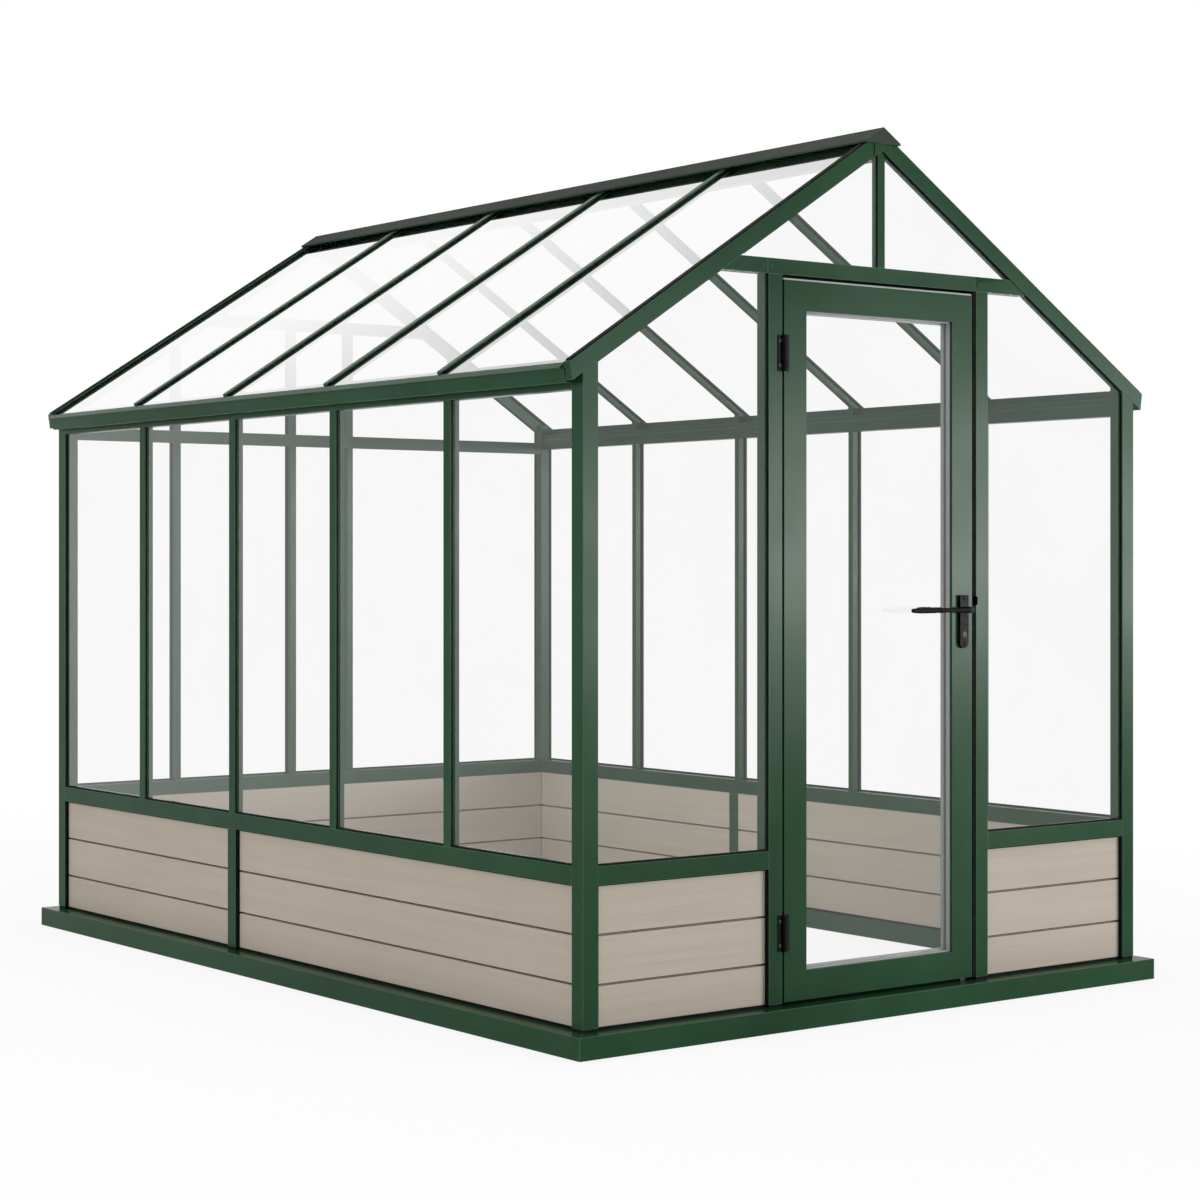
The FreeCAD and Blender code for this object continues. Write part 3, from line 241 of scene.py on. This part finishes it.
def board(name, grain_scale, fine_scale):
    """Greyed boards: long grain, fine streaks, a tone of its own for each course, painted shade in the
    seams and on the board edges.
    """
    t = material(name)
    flow = t.noise(1.0, 4.0, 0.55, t.stretch(grain_scale), 0.4)
    streak = t.noise(1.0, 3.0, 0.6, t.stretch(fine_scale))
    patch = t.noise(2.3)
    painted_edge_light = t.edges(0.003, 0.88, 0.99)
    down = t.math("DIVIDE", t.math("SUBTRACT", board_top, t.heights(t.coords)), board_pitch)
    own_tone = t.add("ShaderNodeTexWhiteNoise", noise_dimensions="1D")
    t.link(t.math("FLOOR", down), own_tone.inputs["W"])
    seam_shade = t.math("GREATER_THAN", t.math("FRACT", down), seam_shade_from)
    colour = t.mix(t.span(flow, 0.3, 0.7), linear(177, 166, 152), linear(184, 174, 161))
    colour = t.mix(t.part(t.span(streak, 0.54, 0.74), 0.22), colour, linear(140, 127, 111))
    colour = t.mix(t.part(t.span(patch, 0.45, 0.75), 0.20), colour, linear(196, 187, 174))
    colour = t.mix(t.part(own_tone.outputs["Value"], 0.14), colour, linear(168, 156, 141))
    # Darker edges along the seams and ends: painted shade.
    colour = t.mix(t.part(painted_edge_light, 0.5), colour, linear(98, 86, 74))
    # Dark band at the foot of each course, in the seam gap: painted shade.
    colour = t.mix(seam_shade, colour, linear(46, 40, 34))
    rough = t.span(streak, 0.3, 0.7, 0.58, 0.74)
    height = t.math("ADD", t.part(streak, 0.6), t.part(flow, 0.4))
    return t.surface(colour, rough, t.bump(height, 0.22, 0.0012), Specular_IOR_Level=0.3)


def clear_glass():
    """Clear glass: a slight green cast, a mirror that grows towards grazing sight, faint dust."""
    t = material("clear_glazing")
    facing = t.add("ShaderNodeLayerWeight")
    facing.inputs["Blend"].default_value = 0.5
    grazing = t.math("POWER", facing.outputs["Facing"], 6.0)
    mirror = t.math("ADD", t.part(grazing, 3.2), 0.065)
    path = t.add("ShaderNodeLightPath")
    first = t.math("MULTIPLY", t.math("LESS_THAN", path.outputs["Transparent Depth"], 0.5),
                   path.outputs["Is Camera Ray"])
    mirror = t.math("MULTIPLY", t.math("MINIMUM", mirror, 0.95), first)
    dust = t.span(t.noise(2.2, 5.0, 0.62), 0.45, 0.8, 0.0, 0.012)
    clear = t.shader("ShaderNodeBsdfTransparent", (0.982, 0.984, 0.982, 1.0))
    film = t.shader("ShaderNodeBsdfDiffuse", (0.86, 0.87, 0.86, 1.0))
    gloss = t.shader("ShaderNodeBsdfGlossy", (0.97, 0.97, 0.97, 1.0))
    t.link(t.span(t.noise(6.0, 3.0), 0.3, 0.7, 0.02, 0.05), gloss.inputs["Roughness"])
    t.link(t.bump(t.noise(3.0, 1.0), 0.02, 0.002), gloss.inputs["Normal"])
    return t.finish(t.blend(mirror, t.blend(dust, clear, film), gloss))


def black_rubber():
    t = material("matt_black_rubber")
    colour = t.mix(t.span(t.noise(26.0, 4.0), 0.4, 0.75), linear(11, 12, 12), linear(27, 28, 28))
    rough = t.span(t.noise(60.0, 3.0), 0.3, 0.7, 0.58, 0.76)
    return t.surface(colour, rough, t.bump(t.noise(900.0), 0.12, 0.0004), Specular_IOR_Level=0.06)


def black_metal():
    t = material("satin_black_metal")
    painted_edge_light = t.edges(0.0008, 0.85, 0.99)
    colour = t.mix(t.span(t.noise(40.0, 3.0), 0.35, 0.7), linear(8, 8, 9), linear(17, 17, 18))
    # Paler edges: painted highlight.
    colour = t.mix(t.part(painted_edge_light, 0.25), colour, linear(52, 52, 52))
    rough = t.span(t.noise(90.0, 3.0), 0.3, 0.7, 0.34, 0.46)
    return t.surface(colour, rough, t.bump(t.noise(1500.0), 0.08, 0.0003), Specular_IOR_Level=0.06)


def metal(name, dark, pale, line_scale, rough_low, rough_high, **constants):
    """Drawn metal with lines along the direction of the small scale."""
    t = material(name)
    lines = t.noise(1.0, 3.0, 0.6, t.stretch(line_scale))
    stain = t.span(t.noise(18.0, 4.0), 0.5, 0.8)
    colour = t.mix(t.span(lines, 0.3, 0.7), dark, pale)
    colour = t.mix(t.part(stain, 0.3), colour, dark)
    rough = t.span(lines, 0.3, 0.7, rough_low, rough_high)
    return t.surface(colour, rough, t.bump(lines, 0.06, 0.0003), **constants)


# Finish of each slot, and of the nodes that have one of their own
looks = {
    "green_coat": green_coat("satin_green_coat", 0.55),
    "clear_glass": clear_glass(),
    "black_rubber": black_rubber(),
    "black_metal": black_metal(),
    "steel": metal("zinc_steel", linear(150, 152, 154), linear(196, 198, 200), (30.0, 500.0, 500.0),
                   0.28, 0.42, Metallic=1.0),
    "brass": metal("blackened_brass", linear(26, 24, 22), linear(46, 43, 38), (600.0, 20.0, 600.0),
                   0.24, 0.36, Metallic=1.0),
    "bare_aluminium": metal("drawn_aluminium", linear(142, 146, 144), linear(172, 176, 174),
                            (14.0, 500.0, 500.0), 0.30, 0.44, Specular_IOR_Level=0.2),
}
board_along_y = board("board_along_y", (22.0, 0.9, 34.0), (240.0, 3.2, 420.0))
board_along_x = board("board_along_x", (0.9, 22.0, 34.0), (3.2, 240.0, 420.0))
door_coat = green_coat("satin_green_door", 0.12, 0.9)
own_looks = {
    "boards_side": board_along_y,
    "boards_front": board_along_x,
    "boards_rear": board_along_x,
    "door_stile_hinge": door_coat,
    "door_stile_latch": door_coat,
    "door_rails": door_coat,
    "ridge_cap": ridge_coat(),
}


def soften(piece, width):
    """Join the flat faces of a mesh and break its edges with a small round."""
    weld = piece.modifiers.new("weld", "WELD")
    weld.merge_threshold = weld_reach
    flat = piece.modifiers.new("flat", "DECIMATE")
    flat.decimate_type = "DISSOLVE"
    flat.angle_limit = flat_angle
    round_off = piece.modifiers.new("edges", "BEVEL")
    round_off.width = width
    round_off.segments = 2
    round_off.limit_method = "ANGLE"
    round_off.angle_limit = round_angle
    round_off.miter_outer = "MITER_ARC"
    even = piece.modifiers.new("normals", "WEIGHTED_NORMAL")
    even.weight = normal_weight


for name, piece in nodes.items():
    slot = slot_of[name]
    piece.data.materials.clear()
    piece.data.materials.append(own_looks.get(name) or looks[slot])
    if slot in edge_round:
        soften(piece, edge_round[slot])


def floor_look():
    """Pale paper that keeps the shadow, white to the camera and in reflections."""
    t = material("floor")
    seen = t.seen_rays()
    paper = t.shader("ShaderNodeBsdfDiffuse", (0.80, 0.80, 0.80, 1.0))
    shade = t.shader("ShaderNodeBsdfDiffuse", (0.16, 0.16, 0.16, 1.0))
    lift = t.shader("ShaderNodeEmission")
    lift.inputs["Strength"].default_value = 0.85
    shown = t.add("ShaderNodeAddShader")
    t.link(shade.outputs[0], shown.inputs[0])
    t.link(lift.outputs[0], shown.inputs[1])
    from_middle = t.add("ShaderNodeVectorMath", operation="LENGTH")
    t.link(t.stretch(house_squeeze), from_middle.inputs[0])
    away = t.math("MULTIPLY", seen, t.span(from_middle.outputs["Value"], shadow_near, shadow_far))
    white = t.shader("ShaderNodeEmission")
    return t.finish(t.blend(away, t.blend(seen, paper, shown), white))


def make_floor():
    mesh = bpy.data.meshes.new("floor")
    corners = [(x * floor_reach, y * floor_reach, 0) for x, y in ((-1, -1), (1, -1), (1, 1), (-1, 1))]
    mesh.from_pydata(corners, [], [(0, 1, 2, 3)])
    mesh.materials.append(floor_look())
    item = bpy.data.objects.new("floor", mesh)
    item.location.z = -floor_drop
    scene.collection.objects.link(item)
    return item


floor = make_floor()


def make_world():
    """White to the camera and in reflections, a dimmer sky for light, dimmest overhead."""
    t = Tree(bpy.data.worlds.new("studio"), "ShaderNodeOutputWorld")
    dim = t.span(t.heights(t.place.outputs["Generated"]), 0.0, 1.0, 0.78, 0.40)
    sky = t.shader("ShaderNodeBackground", (1.0, 1.0, 1.0, 1.0))
    t.link(t.span(t.seen_rays(), 0.0, 1.0, dim, 1.0), sky.inputs["Strength"])
    return t.finish(sky)


scene.world = make_world()

# The lamps light all but the glass, which mirrors the pale room instead of the lamps
lit = bpy.data.collections.new("lit")
lit.objects.link(floor)
for name, piece in nodes.items():
    if slot_of[name] != "clear_glass":
        lit.objects.link(piece)


def lamp(name, place, aim, size, power):
    data = bpy.data.lights.new(name, "AREA")
    data.shape = "RECTANGLE"
    data.size, data.size_y = size
    data.energy = power
    item = bpy.data.objects.new(name, data)
    item.location = place
    item.rotation_euler = (Vector(aim) - Vector(place)).to_track_quat("-Z", "Y").to_euler()
    item.visible_camera = False
    scene.collection.objects.link(item)
    item.light_linking.receiver_collection = lit
    return item


# Soft lamps: a broad one over the house, one low to the right of the camera, one to the left and a weak one
# inside that lifts the boards behind the glass
lamp("over", place=(-1.0, -2.0, 9.0), aim=(0, 0, 0.8), size=(7.0, 7.0), power=120.0)
lamp("front", place=(7.3, -9.5, 1.45), aim=(0, 0, 1.3), size=(5.0, 1.7), power=590.0)
lamp("side", place=(-9.0, 0.5, 3.0), aim=(0, 0, 1.0), size=(4.0, 4.0), power=200.0)
inside = lamp("inside", place=(0, 0.4, 1.7), aim=(0, 0.4, 0), size=(1.6, 2.0), power=8.0)
inside.visible_glossy = False

camera_data = bpy.data.cameras.new("camera")
camera_data.sensor_width = sensor_width
camera_data.lens = lens
camera_data.shift_y = frame_shift
camera_data.clip_end = sight_end
camera = bpy.data.objects.new("camera", camera_data)
camera.location = eye
camera.rotation_euler = (math.radians(90), 0, heading)
scene.collection.objects.link(camera)
scene.camera = camera
scene.view_settings.view_transform = "Standard"
